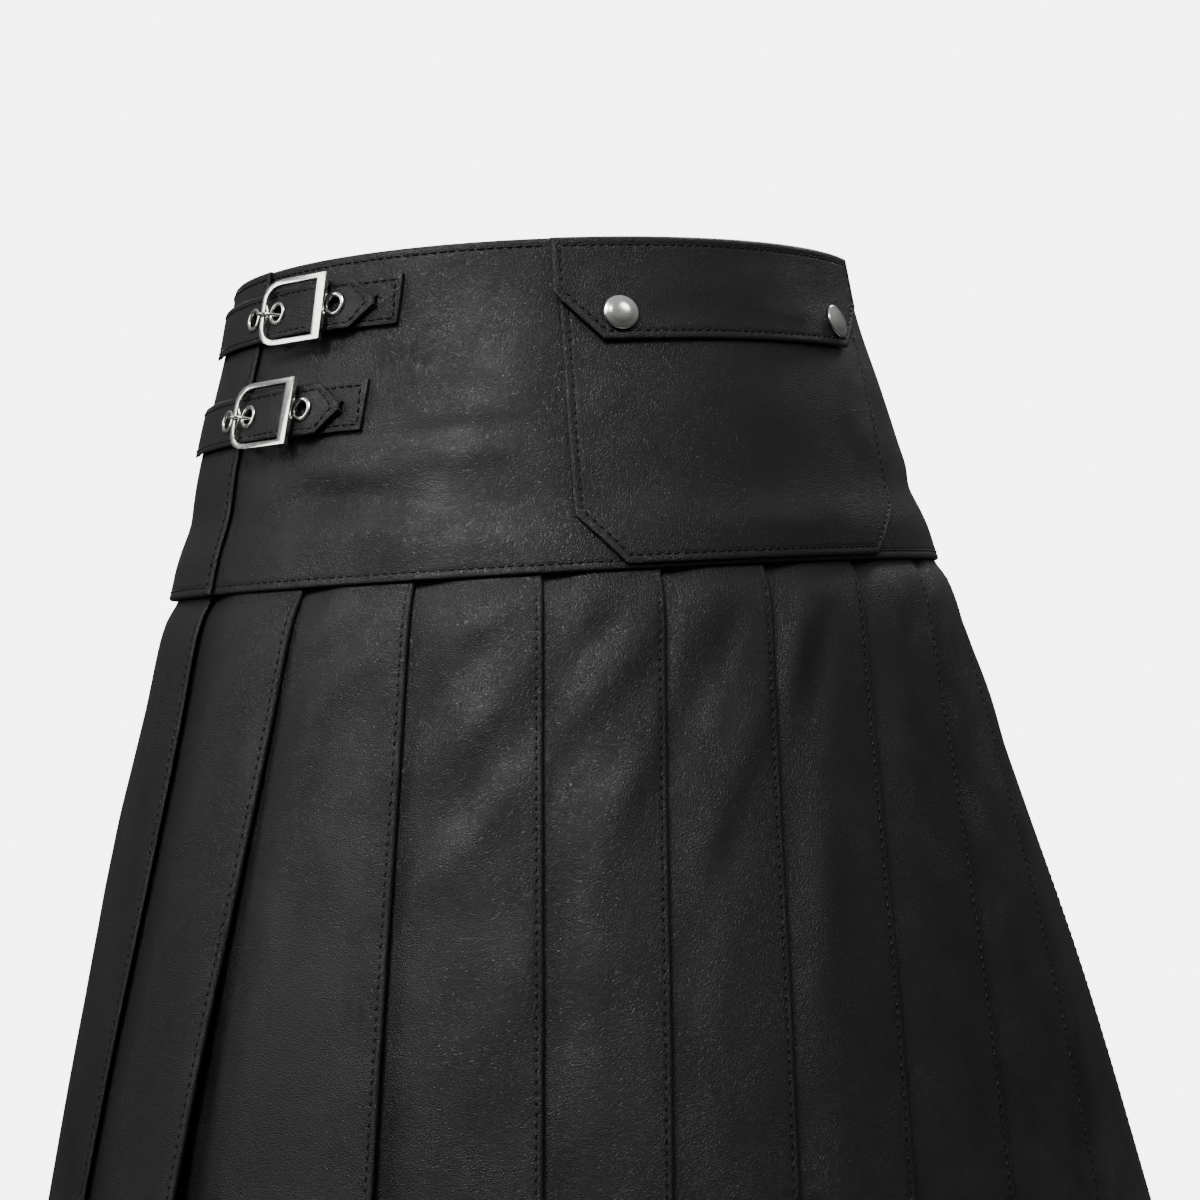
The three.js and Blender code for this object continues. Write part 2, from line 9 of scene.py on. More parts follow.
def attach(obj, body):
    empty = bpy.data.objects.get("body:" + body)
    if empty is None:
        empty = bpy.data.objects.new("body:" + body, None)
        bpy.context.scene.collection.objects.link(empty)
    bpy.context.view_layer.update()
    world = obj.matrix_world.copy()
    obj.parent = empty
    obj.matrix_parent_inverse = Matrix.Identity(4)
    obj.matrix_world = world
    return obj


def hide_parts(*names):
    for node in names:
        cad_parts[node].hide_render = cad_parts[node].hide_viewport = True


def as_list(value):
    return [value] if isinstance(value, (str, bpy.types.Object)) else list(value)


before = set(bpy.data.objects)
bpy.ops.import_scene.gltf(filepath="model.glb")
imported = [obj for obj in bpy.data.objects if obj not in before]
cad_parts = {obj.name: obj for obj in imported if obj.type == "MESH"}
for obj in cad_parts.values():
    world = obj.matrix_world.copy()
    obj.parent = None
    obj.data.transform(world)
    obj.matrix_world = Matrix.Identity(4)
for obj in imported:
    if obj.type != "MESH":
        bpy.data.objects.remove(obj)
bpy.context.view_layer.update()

# Sizes are in millimetres round the body, and every mesh point is put down in metres.
# Angles go round the body in degrees: 0 front, 90 wearer's left, 180 back.
MM = 0.001

# Camera, at the photograph's angle
IMAGE_SIZE = 1200
VIEW_ANGLE = 140
VIEW_DISTANCE = 1150
EYE_LEVEL = -166
FOCAL_PIXELS = 2.05 * VIEW_DISTANCE
CAMERA_ROLL = 3.2
AXIS_PIXEL = (565, 626)
SENSOR = 36


def make_camera():
    turn = math.radians(VIEW_ANGLE)
    roll = math.radians(CAMERA_ROLL)
    toward = Vector((math.sin(turn), -math.cos(turn), 0))
    right = Vector((math.cos(turn), math.sin(turn), 0))
    up = Vector((0, 0, 1))
    across = right * math.cos(roll) - up * math.sin(roll)
    upright = right * math.sin(roll) + up * math.cos(roll)
    data = bpy.data.cameras.new("photo_camera")
    data.sensor_width = SENSOR
    data.lens = FOCAL_PIXELS / IMAGE_SIZE * SENSOR
    data.shift_x = (IMAGE_SIZE / 2 - AXIS_PIXEL[0]) / IMAGE_SIZE
    data.shift_y = (AXIS_PIXEL[1] - IMAGE_SIZE / 2) / IMAGE_SIZE
    camera = bpy.data.objects.new("photo_camera", data)
    bpy.context.collection.objects.link(camera)
    turned = Matrix((across, upright, toward)).transposed().to_4x4()
    place = toward * VIEW_DISTANCE * MM + up * EYE_LEVEL * MM
    camera.matrix_world = Matrix.Translation(place) @ turned
    bpy.context.scene.camera = camera


make_camera()

# The kilt's cut, as in the frame
GAP = 0.3
YOKE_LEATHER = 1.5
PLEAT_LEATHER = 1.2
YOKE_DROP = 144
YOKE_TUCK = YOKE_LEATHER + GAP
KILT_LENGTH = 600
APRON_EDGE = 86.8
SKIRT_APRON_EDGE = 85
APRON_EDGE_SWING = 6
APRON_SEAM = -83
SEAM_ANGLE_GAP = 0.2
UNDER_APRON_JOIN = 71
UNDER_APRON_END = -58
UNDER_APRON_DEPTH = 2
APRON_LIFT = YOKE_LEATHER + 2 * GAP
APRON_CLIMB = 18
PLEAT_UNDERLAP = 25
PLEAT_RISE = 24
PLEAT_TOP = -136

# Level, half width and half depth of the yoke's outer face
YOKE_ROWS = [
    (0, 152, 137), (-30, 159, 143), (-60, 168, 151), (-90, 176, 158.5),
    (-110, 180.5, 163), (-128, 187.5, 169.5), (-144, 192, 173),
]

# Level, half width and half depth of the skirt's outermost face
SKIRT_ROWS = [
    (PLEAT_TOP, 189.7 - YOKE_TUCK, 171.2 - YOKE_TUCK), (-144.5, 192 - YOKE_TUCK, 173 - YOKE_TUCK),
    (-153, 195.5, 177), (-165, 200, 181.5), (-200, 209, 190.5), (-260, 225, 207),
    (-340, 246, 229), (-430, 267, 250), (-520, 287, 270), (-600, 304, 287),
]

# Angle of each pleat's fold edge at the yoke, at middle length and at the hem, and how far
# the edge stands open at the hem
FOLD_LEVELS = (-144, -400, -600)
PLEATS = [
    ("pleat_01", 106, 100, 98.5, 13), ("pleat_02", 123.3, 121.6, 121, 6),
    ("pleat_03", 140.4, 137, 135.5, 2.5), ("pleat_04", 156, 148.4, 146, 1.5),
    ("pleat_05", 171, 160, 157, 1.5), ("pleat_06", 187, 172, 168.5, 1.5),
    ("pleat_07", 204.5, 184.5, 180.5, 2), ("pleat_08", 221, 200, 195, 2),
    ("pleat_09", 238, 220, 214, 3), ("pleat_10", 256, 243, 238, 6),
    ("pleat_11", 275.5, 267, 264, 10),
]


def row_value(rows, z, column):
    """Smooth curve through one column of a table of levels."""
    last = len(rows) - 1
    i = 0
    while i < last - 1 and z < rows[i + 1][0]:
        i += 1

    def slope(k):
        before, after = rows[max(k - 1, 0)], rows[min(k + 1, last)]
        return (after[column] - before[column]) / (after[0] - before[0])

    span = rows[i + 1][0] - rows[i][0]
    rise = rows[i + 1][column] - rows[i][column]
    t = (z - rows[i][0]) / span
    start_bend = slope(i) * span - rise
    end_bend = rise - slope(i + 1) * span
    return rows[i][column] + rise * t + t * (1 - t) * (start_bend * (1 - t) + end_bend * t)


def body_point(rows, z, angle, out):
    a, b = row_value(rows, z, 1), row_value(rows, z, 2)
    turn = math.radians(angle)
    normal = Vector((b * math.sin(turn), -a * math.cos(turn))).normalized()
    x = a * math.sin(turn) + normal.x * out
    y = -b * math.cos(turn) + normal.y * out
    return Vector((x, y, z)) * MM


def degrees_per_mm(rows, z, angle):
    a, b = row_value(rows, z, 1), row_value(rows, z, 2)
    turn = math.radians(angle)
    return math.degrees(1 / math.hypot(a * math.cos(turn), b * math.sin(turn)))


def smooth(t):
    t = min(max(t, 0), 1)
    return t * t * (3 - 2 * t)


def table_value(table, x):
    """Straight lines between the points of a table of (x, value)."""
    i = min(max(bisect.bisect(table, (x,)) - 1, 0), len(table) - 2)
    (x0, y0), (x1, y1) = table[i], table[i + 1]
    return y0 + (y1 - y0) * min(max((x - x0) / (x1 - x0), 0), 1)


def spaced(start, end, step):
    """Even places from start to end, about a step apart."""
    count = max(1, round(abs(end - start) / step))
    return [start + (end - start) * i / count for i in range(count + 1)]


def with_close_ends(start, end, step, at_start=True, at_end=True):
    """Places from start to end, close together near the edges that are rolled and stitched."""
    close = [0, 0.5, 1, 1.6, 2.2, 2.8, 3.4, 4, 4.6, 5.4, 6.6]
    way = 1 if end > start else -1
    head = [start + way * x for x in close] if at_start else [start]
    tail = [end - way * x for x in reversed(close)] if at_end else [end]
    return head[:-1] + spaced(head[-1], tail[0], step) + tail[1:]


# Turned and stitched edge: height of the face by the distance from the edge, lowest at the
# stitches
STITCH_INSET = 3.8
ROLLED_EDGE = [
    (0, -0.6), (0.4, -0.05), (0.9, 0.2), (1.6, 0.3), (2.5, 0.24), (3.2, 0.02),
    (3.8, -0.2), (4.4, 0.02), (5.4, 0.1), (7, 0),
]


def rolled(distance):
    return table_value(ROLLED_EDGE, distance)


# Creases: a soft ridge or trough along a line, by its middle, length, width, tilt and height
def crease_height(creases, x, y):
    total = 0
    for x0, y0, length, width, tilt, height in creases:
        turn = math.radians(tilt)
        dx, dy = x - x0, y - y0
        along = dx * math.cos(turn) + dy * math.sin(turn)
        across = -dx * math.sin(turn) + dy * math.cos(turn)
        if abs(along) < length and abs(across) < 3 * width:
            total += height * (1 - smooth(abs(along) / length)) * math.exp(-((across / width) ** 2))
    return total


pieces = {}
cuts = {}


def finished(name, bm, material):
    """Puts a mesh down as a piece that rides on the kilt."""
    mesh = bpy.data.meshes.new(name)
    bm.to_mesh(mesh)
    bm.free()
    for face in mesh.polygons:
        face.use_smooth = True
    piece = bpy.data.objects.new(name, mesh)
    bpy.context.collection.objects.link(piece)
    mesh.materials.append(material)
    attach(piece, "root")
    pieces[name] = piece
    return piece


def leather_wall(name, across, down, place, thickness, offset=-1):
    """A sheet of leather: a grid laid on its place, given its thickness."""
    bm = bmesh.new()
    columns, rows = len(across) - 1, len(down) - 1
    bmesh.ops.create_grid(bm, x_segments=columns, y_segments=rows, size=1)
    spots = {}
    for vert in bm.verts:
        column = round((vert.co.x + 1) / 2 * columns)
        row = round((1 - vert.co.y) / 2 * rows)
        vert.co = spots[column, row] = place(across[column], down[row])
    widest = max(
        sum((spots[c + 1, r] - spots[c, r]).length for c in range(columns)) for r in (0, rows // 2, rows)
    )
    longest = max(
        sum((spots[c, r + 1] - spots[c, r]).length for r in range(rows)) for c in (0, columns // 2, columns)
    )
    area = sum(face.calc_area() for face in bm.faces)
    cuts[name] = (widest, longest, min(area, widest * longest))
    piece = finished(name, bm, leather)
    wall = piece.modifiers.new("wall", "SOLIDIFY")
    wall.thickness = thickness * MM
    wall.offset = offset
    wall.use_even_offset = True
    return piece


# Materials
def new_material(name):
    material = bpy.data.materials.new(name)
    material.use_nodes = True
    return material, material.node_tree.nodes, material.node_tree.links


def make_leather():
    material, nodes, links = new_material("black_pebbled_leather")
    shader = nodes["Principled BSDF"]
    place = nodes.new("ShaderNodeTexCoord").outputs["Object"]
    pebbles = nodes.new("ShaderNodeTexVoronoi")
    pebbles.feature = "DISTANCE_TO_EDGE"
    pebbles.inputs["Scale"].default_value = 820
    pebbles.inputs["Randomness"].default_value = 1
    stretch = nodes.new("ShaderNodeMapping")
    stretch.inputs["Scale"].default_value = (1, 1, 1.5)
    grooves = nodes.new("ShaderNodeMapRange")
    grooves.interpolation_type = "SMOOTHSTEP"
    grooves.inputs["From Max"].default_value = 0.3
    wander = nodes.new("ShaderNodeTexNoise")
    wander.inputs["Scale"].default_value = 320
    wander.inputs["Detail"].default_value = 3
    bend = nodes.new("ShaderNodeVectorMath")
    bend.operation = "MULTIPLY_ADD"
    bend.inputs[1].default_value = (0.0007, 0.0007, 0.0007)
    links.new(place, wander.inputs["Vector"])
    links.new(wander.outputs["Color"], bend.inputs[0])
    links.new(place, bend.inputs[2])
    links.new(bend.outputs["Vector"], stretch.inputs["Vector"])
    links.new(stretch.outputs["Vector"], pebbles.inputs["Vector"])
    links.new(pebbles.outputs["Distance"], grooves.inputs["Value"])
    fine = nodes.new("ShaderNodeTexNoise")
    fine.inputs["Scale"].default_value = 2600
    fine.inputs["Detail"].default_value = 2
    links.new(place, fine.inputs["Vector"])
    patches = nodes.new("ShaderNodeTexNoise")
    patches.inputs["Scale"].default_value = 34
    patches.inputs["Detail"].default_value = 4
    links.new(place, patches.inputs["Vector"])
    strength = nodes.new("ShaderNodeMapRange")
    strength.inputs["From Min"].default_value = 0.3
    strength.inputs["From Max"].default_value = 0.7
    strength.inputs["To Min"].default_value = 0.35
    strength.inputs["To Max"].default_value = 0.8
    links.new(patches.outputs["Fac"], strength.inputs["Value"])
    grain = nodes.new("ShaderNodeBump")
    grain.inputs["Distance"].default_value = 0.0003
    links.new(strength.outputs["Result"], grain.inputs["Strength"])
    links.new(grooves.outputs["Result"], grain.inputs["Height"])
    pores = nodes.new("ShaderNodeBump")
    pores.inputs["Strength"].default_value = 0.12
    pores.inputs["Distance"].default_value = 0.0002
    links.new(fine.outputs["Fac"], pores.inputs["Height"])
    links.new(grain.outputs["Normal"], pores.inputs["Normal"])
    links.new(pores.outputs["Normal"], shader.inputs["Normal"])
    tone = nodes.new("ShaderNodeMapRange")
    tone.inputs["To Min"].default_value = 0.40
    tone.inputs["To Max"].default_value = 0.52
    links.new(patches.outputs["Fac"], tone.inputs["Value"])
    links.new(tone.outputs["Result"], shader.inputs["Roughness"])
    colour = nodes.new("ShaderNodeMapRange")
    colour.data_type = "FLOAT_VECTOR"
    colour.inputs[9].default_value = (0.005, 0.005, 0.0052)
    colour.inputs[10].default_value = (0.0095, 0.0095, 0.0098)
    links.new(patches.outputs["Fac"], colour.inputs[6])
    links.new(colour.outputs["Vector"], shader.inputs["Base Color"])
    shader.inputs["Specular IOR Level"].default_value = 0.35
    return material


def make_nickel():
    material, nodes, links = new_material("polished_nickel")
    shader = nodes["Principled BSDF"]
    place = nodes.new("ShaderNodeTexCoord").outputs["Object"]
    wear = nodes.new("ShaderNodeTexNoise")
    wear.inputs["Scale"].default_value = 420
    wear.inputs["Detail"].default_value = 4
    links.new(place, wear.inputs["Vector"])
    rough = nodes.new("ShaderNodeMapRange")
    rough.inputs["To Min"].default_value = 0.08
    rough.inputs["To Max"].default_value = 0.26
    links.new(wear.outputs["Fac"], rough.inputs["Value"])
    links.new(rough.outputs["Result"], shader.inputs["Roughness"])
    bumps = nodes.new("ShaderNodeBump")
    bumps.inputs["Strength"].default_value = 0.08
    bumps.inputs["Distance"].default_value = 0.0001
    links.new(wear.outputs["Fac"], bumps.inputs["Height"])
    links.new(bumps.outputs["Normal"], shader.inputs["Normal"])
    shader.inputs["Base Color"].default_value = (0.78, 0.77, 0.73, 1)
    shader.inputs["Metallic"].default_value = 1
    return material


def make_thread():
    material, nodes, links = new_material("black_waxed_thread")
    shader = nodes["Principled BSDF"]
    place = nodes.new("ShaderNodeTexCoord").outputs["Object"]
    twist = nodes.new("ShaderNodeTexWave")
    twist.inputs["Scale"].default_value = 900
    links.new(place, twist.inputs["Vector"])
    ply = nodes.new("ShaderNodeBump")
    ply.inputs["Strength"].default_value = 0.4
    ply.inputs["Distance"].default_value = 0.0001
    links.new(twist.outputs["Fac"], ply.inputs["Height"])
    links.new(ply.outputs["Normal"], shader.inputs["Normal"])
    shader.inputs["Base Color"].default_value = (0.003, 0.003, 0.0034, 1)
    shader.inputs["Roughness"].default_value = 0.4
    shader.inputs["Specular IOR Level"].default_value = 0.22
    return material


def make_floor_finish():
    material, nodes, _ = new_material("pale_floor")
    shader = nodes["Principled BSDF"]
    shader.inputs["Base Color"].default_value = (0.55, 0.55, 0.54, 1)
    shader.inputs["Roughness"].default_value = 0.7
    return material


leather = make_leather()
nickel = make_nickel()
thread = make_thread()

# Yoke
YOKE_STEP = 2.6


def yoke_edges(z):
    """Turned waist edge and rolled lower edge of the yoke."""
    return rolled(-z) * 0.7 + rolled(z + YOKE_DROP)


# Creases of the yoke: angle, level, half length, half width, tilt, height
YOKE_CREASES = [
    (111, -107, 46, 5.5, -4, -2.1), (114, -121, 60, 7, -2, 1.7), (112, -94, 50, 6, -3, 1.2),
    (129, -81, 40, 5, 2, -1.5), (130, -91, 46, 6, 3, 1.2), (124, -131, 40, 5, 4, 0.5),
    (132, -62, 40, 7, 12, -0.35), (128, -38, 46, 8, -8, 0.3), (96, -104, 30, 5, 8, 0.5),
    (226, -108, 60, 6.5, 3, -0.9), (232, -96, 66, 7, 4, 0.7), (246, -118, 50, 6, -5, 0.6),
    (251, -82, 50, 6, -6, -0.5), (262, -104, 42, 6, 5, 0.5), (238, -58, 45, 8, 8, -0.35),
    (-40, -108, 66, 7, 3, -0.8), (-18, -98, 72, 8, -2, 0.7), (20, -112, 70, 7, -3, -0.8),
    (38, -94, 60, 7, 5, 0.6), (60, -108, 44, 6, -6, -0.6), (-62, -92, 44, 6, -5, 0.5),
    (5, -70, 60, 9, 2, -0.35), (70, -82, 34, 6, 8, 0.45),
]
ARC_MM = 2.9


def yoke_creases(angle, z):
    turned = [(a * ARC_MM, *rest) for a, *rest in YOKE_CREASES]
    return crease_height(turned, angle * ARC_MM, z)


yoke_levels = with_close_ends(0, -YOKE_DROP, YOKE_STEP)


def yoke_back_place(angle, z):
    out = yoke_edges(z) + yoke_creases(angle, z)
    hidden = smooth((APRON_EDGE - angle) / 2)
    return body_point(YOKE_ROWS, z, angle, out * (1 - hidden))


def over_apron_out(angle, z):
    edge = (APRON_EDGE - angle) / degrees_per_mm(YOKE_ROWS, z, APRON_EDGE)
    lift = APRON_LIFT * smooth((angle - APRON_SEAM) / APRON_CLIMB)
    return lift + yoke_edges(z) + rolled(edge) + yoke_creases(angle, z) * 0.7


def over_apron_place(angle, z):
    return body_point(YOKE_ROWS, z, angle, over_apron_out(angle, z))


def angles_with_close_end(start, end, step):
    """Angles from start to end, close together before the end, which is rolled and stitched."""
    per_mm = degrees_per_mm(YOKE_ROWS, -YOKE_DROP / 2, end)
    places = with_close_ends(0, (end - start) / per_mm, step, at_start=False)
    return [start + x * per_mm for x in places]


def build_yoke():
    back_start = UNDER_APRON_JOIN + SEAM_ANGLE_GAP
    back_end = 360 + APRON_SEAM - SEAM_ANGLE_GAP
    leather_wall(
        "yoke_back_leather", spaced(back_start, back_end, 1.1), yoke_levels,
        yoke_back_place, YOKE_LEATHER,
    )
    leather_wall(
        "yoke_over_apron_leather", angles_with_close_end(APRON_SEAM, APRON_EDGE, YOKE_STEP * 1.3),
        yoke_levels, over_apron_place, YOKE_LEATHER,
    )
    leather_wall(
        "yoke_under_apron_leather", spaced(UNDER_APRON_END, UNDER_APRON_JOIN, 3),
        spaced(-0.3, -YOKE_DROP, 6), lambda angle, z: body_point(YOKE_ROWS, z, angle, -0.1),
        YOKE_LEATHER,
    )
    for part in ("back", "over_apron", "under_apron"):
        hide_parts(f"yoke_{part}")


# Pleats
LAYER = PLEAT_LEATHER + GAP
TOP_LAYER = -PLEAT_LEATHER / 2
RETURN_LAYER = TOP_LAYER - LAYER
UNDER_LAYER = RETURN_LAYER - LAYER
OPEN_START = 0.35
RETURN_LIFT_SHARE = 0.96
FACE_END = -1.2
FOLD_STEPS = [0, 30, 60, 90, 120, 150, 180]

# Stitched fold edge of a pleat: distance of its stitches, and height by the distance
PLEAT_STITCH = 2.7
PLEAT_ROLL = [(0, 0), (0.6, 0.05), (1.3, 0.1), (2, 0.02), (2.7, -0.18), (3.5, 0), (6, 0)]

# Soft folds on the pleats' faces, by pleat: share of the face from its left, level, half
# length, half width, tilt and height
PLEAT_CREASES = {
    0: [(0.5, -190, 50, 9, 60, 0.7), (0.45, -300, 90, 11, 78, 0.8), (0.6, -430, 90, 12, 84, -0.8)],
    1: [(0.42, -170, 40, 6, 34, -1.6), (0.5, -186, 48, 8, 40, 2.2), (0.35, -214, 50, 9, 58, 1.2),
        (0.75, -235, 60, 10, 70, 0.6), (0.4, -330, 90, 13, 80, -0.8), (0.45, -420, 60, 12, 44, 2.2),
        (0.6, -470, 110, 14, 86, 0.8)],
    2: [(0.55, -160, 34, 7, 20, 1.6), (0.35, -186, 44, 6, 42, -1.8), (0.5, -205, 50, 8, 44, 2.4),
        (0.55, -232, 56, 7, 48, -1.6), (0.45, -250, 60, 9, 50, 1.9), (0.6, -330, 90, 12, 60, 1.6),
        (0.4, -440, 110, 13, 70, -0.8)],
    3: [(0.45, -170, 44, 6, 52, -1.8), (0.62, -184, 50, 8, 54, 2.4), (0.3, -214, 44, 7, 58, -1.6),
        (0.6, -238, 64, 9, 62, 2.6), (0.3, -262, 50, 8, 60, -1.6), (0.5, -360, 110, 12, 84, -0.6),
        (0.6, -490, 90, 12, 88, 0.7)],
    4: [(0.22, -166, 40, 7, 70, 2.0), (0.45, -186, 54, 7, 62, -1.8), (0.7, -220, 60, 9, 66, 1.6),
        (0.5, -262, 60, 9, 70, -1.2), (0.4, -380, 100, 12, 86, -0.6)],
    5: [(0.22, -176, 46, 7, 80, 2.4), (0.45, -190, 50, 7, 74, -1.6), (0.3, -290, 90, 10, 82, 1.4),
        (0.6, -420, 110, 12, 88, -0.6)],
    6: [(0.6, -176, 36, 9, 68, -0.9), (0.35, -215, 50, 9, 74, 0.8), (0.5, -330, 90, 12, 84, -0.6)],
    7: [(0.4, -180, 40, 9, 60, 1.0), (0.55, -225, 54, 10, 66, -0.9), (0.4, -340, 100, 12, 82, 0.7)],
    8: [(0.35, -176, 40, 9, 48, -1.1), (0.6, -205, 50, 9, 58, 1.1), (0.4, -290, 80, 12, 74, -0.8),
        (0.6, -430, 110, 13, 84, 0.7)],
    9: [(0.5, -174, 38, 9, 52, 1.1), (0.35, -212, 50, 10, 58, -1.2), (0.6, -300, 80, 12, 76, 0.9),
        (0.4, -450, 110, 13, 84, -0.8)],
    10: [(0.45, -180, 44, 9, 64, -0.9), (0.4, -270, 80, 11, 78, 0.8), (0.6, -420, 100, 13, 84, -0.8)],
}


def fold_angle(i, z):
    """Angle of a pleat's fold edge, a parabola through its three measured places."""
    top, middle, hem = FOLD_LEVELS
    level = min(z, top)
    _, at_top, at_middle, at_hem, _ = PLEATS[i]
    return (
        at_top * (level - middle) * (level - hem) / ((top - middle) * (top - hem))
        + at_middle * (level - top) * (level - hem) / ((middle - top) * (middle - hem))
        + at_hem * (level - top) * (level - middle) / ((hem - top) * (hem - middle))
    )


def skirt_apron_edge(z):
    return SKIRT_APRON_EDGE - APRON_EDGE_SWING * smooth((-z - YOKE_DROP) / (KILT_LENGTH - YOKE_DROP))


def pleat_left(i, z):
    return skirt_apron_edge(z) if i == 0 else fold_angle(i - 1, z)


def pleat_width(i, z):
    anchor = fold_angle(i, z)
    return (anchor - pleat_left(i, z)) / degrees_per_mm(SKIRT_ROWS, z, anchor)


def pleat_opening(i, z):
    return PLEATS[i][4] * smooth((FOLD_LEVELS[0] - z) / (FOLD_LEVELS[0] - FOLD_LEVELS[2]))


def pleat_lift(i, z, x, width):
    """How far the face stands open at x, in mm from its fold edge, which is at 0."""
    return pleat_opening(i, z) * smooth(1 + x / (width * (1 - OPEN_START)))


def pleat_face_out(i, z, x):
    """Middle of a pleat's wall at x mm from its fold edge."""
    width = pleat_width(i, z)
    share = 1 + x / width
    climb = UNDER_LAYER + (TOP_LAYER - UNDER_LAYER) * smooth((x + width) / PLEAT_RISE)
    free = smooth((FOLD_LEVELS[0] - 4 - z) / 22) * smooth(share / 0.12) * smooth(-x / 6)
    creases = [(s * width, *rest) for s, *rest in PLEAT_CREASES[i]]
    soft = crease_height(creases, share * width, z) * free
    roll = table_value(PLEAT_ROLL, -x)
    return climb + pleat_lift(i, z, x, width) + roll * smooth(share / 0.1) + max(soft, -1.4)


def pleat_place(i):
    """Place of a point on a pleat. u counts the stretches: 0 to 1 the underlap, 1 to 2 the face,
    2 to 3 the fold and 3 to 4 the return."""
    def place(u, z):
        anchor = fold_angle(i, z)
        width = pleat_width(i, z)
        opening = pleat_opening(i, z)
        if u < 1:
            x, out = -width - PLEAT_UNDERLAP * (1 - u), UNDER_LAYER
        elif u < 2:
            t = u - 1
            x = -width + (width + FACE_END) * t
            out = pleat_face_out(i, z, x)
        elif u <= 3:
            turn = math.pi * (u - 2)
            radius = LAYER / 2
            x = FACE_END + radius * math.sin(turn)
            top = pleat_face_out(i, z, FACE_END)
            low = RETURN_LAYER + opening * RETURN_LIFT_SHARE
            out = top - (top - low) * (1 - math.cos(turn)) / 2
        else:
            x = FACE_END + (FACE_END - PLEAT_UNDERLAP) * (u - 3)
            out = RETURN_LAYER + pleat_lift(i, z, x, width) * RETURN_LIFT_SHARE
        return body_point(SKIRT_ROWS, z, anchor + x * degrees_per_mm(SKIRT_ROWS, z, anchor), out)
    return place


def face_shares():
    """Shares of a pleat's face, close together by the stitched fold edge."""
    near_edge = [1 - x / 62 for x in (6.2, 5, 4.1, 3.3, 2.6, 1.8, 1)]
    return spaced(0, near_edge[0], 0.035)[:-1] + near_edge


def build_pleats():
    across = [0, 0.5] + [1 + s for s in face_shares()] + [2 + s / 180 for s in FOLD_STEPS]
    across += [3.25, 3.6, 4]
    down = [PLEAT_TOP, -140, -144, -147, -150, -154, -158] + spaced(-162, -KILT_LENGTH, 4.4)
    for i, (node, *_) in enumerate(PLEATS):
        name = f"{node}_leather"
        leather_wall(name, across, down, pleat_place(i), PLEAT_LEATHER, offset=0)
        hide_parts(node)


# Skirt aprons
APRON_FINE = 8
apron_columns = with_close_ends(0, 560, 5, at_end=False)

# Creases of the over apron: angle, level, half length, half width, tilt, height
APRON_ARC = 4.2
APRON_CREASES = [
    (-62, -196, 70, 13, 62, 2.2), (-44, -226, 90, 14, 74, -1.6), (-24, -186, 60, 12, 56, 2.0),
    (-8, -250, 110, 16, 84, 2.6), (12, -206, 80, 13, 98, -1.6), (30, -236, 90, 15, 104, 2.4),
    (47, -190, 60, 11, 118, -1.4), (60, -250, 90, 13, 100, 2.0), (72, -330, 120, 12, 95, -1.4),
    (-52, -400, 150, 21, 80, 3.4), (-14, -430, 150, 21, 88, -1.8), (22, -420, 160, 21, 94, 3.4),
    (52, -450, 130, 18, 96, -1.8), (-72, -480, 120, 16, 84, 2.4), (76, -200, 60, 9, 86, 0.7),
    (-34, -168, 40, 9, 30, 1.2), (4, -172, 44, 9, -28, 1.3), (38, -166, 40, 8, -36, 1.1),
]
LAST = len(PLEATS) - 1


def apron_start(z):
    return fold_angle(LAST, z) - 360 - PLEAT_UNDERLAP * degrees_per_mm(SKIRT_ROWS, z, 270)


def skirt_apron_out(angle, z):
    fold = fold_angle(LAST, z) - 360
    climb = PLEAT_RISE * degrees_per_mm(SKIRT_ROWS, z, 270)
    tucked = (UNDER_LAYER - TOP_LAYER) * (1 - smooth((angle - fold) / climb))
    edge = (skirt_apron_edge(z) - angle) / degrees_per_mm(SKIRT_ROWS, z, skirt_apron_edge(z))
    free = smooth((FOLD_LEVELS[0] - 4 - z) / 24) * smooth((angle - fold - climb) / 10) * smooth(edge / 12)
    creases = [(a * APRON_ARC, *rest) for a, *rest in APRON_CREASES]
    soft = crease_height(creases, angle * APRON_ARC, z) * free
    below = smooth((FOLD_LEVELS[0] - 2 - z) / 4)
    return tucked + rolled(edge) * below + max(soft, -0.3)


def skirt_apron_place(x, z):
    """x counts mm back from the free edge at the top of the skirt."""
    start, end = apron_start(z), skirt_apron_edge(z)
    per_mm = degrees_per_mm(SKIRT_ROWS, z, end)
    width = (end - start) / per_mm
    whole = apron_columns[-1]
    if x <= APRON_FINE:
        angle = end - x * per_mm
    else:
        share = (x - APRON_FINE) / (whole - APRON_FINE)
        angle = end - (APRON_FINE + (width - APRON_FINE) * share) * per_mm
    return body_point(SKIRT_ROWS, z, angle, skirt_apron_out(angle, z))


def build_aprons():
    down = [PLEAT_TOP, -140, -144, -147, -150, -154, -158] + spaced(-162, -KILT_LENGTH, 5)
    leather_wall(
        "skirt_over_apron_leather", list(reversed(apron_columns)), down, skirt_apron_place, PLEAT_LEATHER,
    )
    leather_wall(
        "skirt_under_apron_leather", spaced(0, 1, 0.02), spaced(PLEAT_TOP, -KILT_LENGTH, 9),
        under_apron_place, PLEAT_LEATHER,
    )
    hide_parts("skirt_over_apron")
    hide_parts("skirt_under_apron")


def under_apron_place(share, z):
    tuck = (PLEAT_UNDERLAP + GAP) * degrees_per_mm(SKIRT_ROWS, z, 90)
    end = skirt_apron_edge(z) - tuck - 3 * SEAM_ANGLE_GAP
    angle = UNDER_APRON_END + (end - UNDER_APRON_END) * share
    return body_point(SKIRT_ROWS, z, angle, -UNDER_APRON_DEPTH)


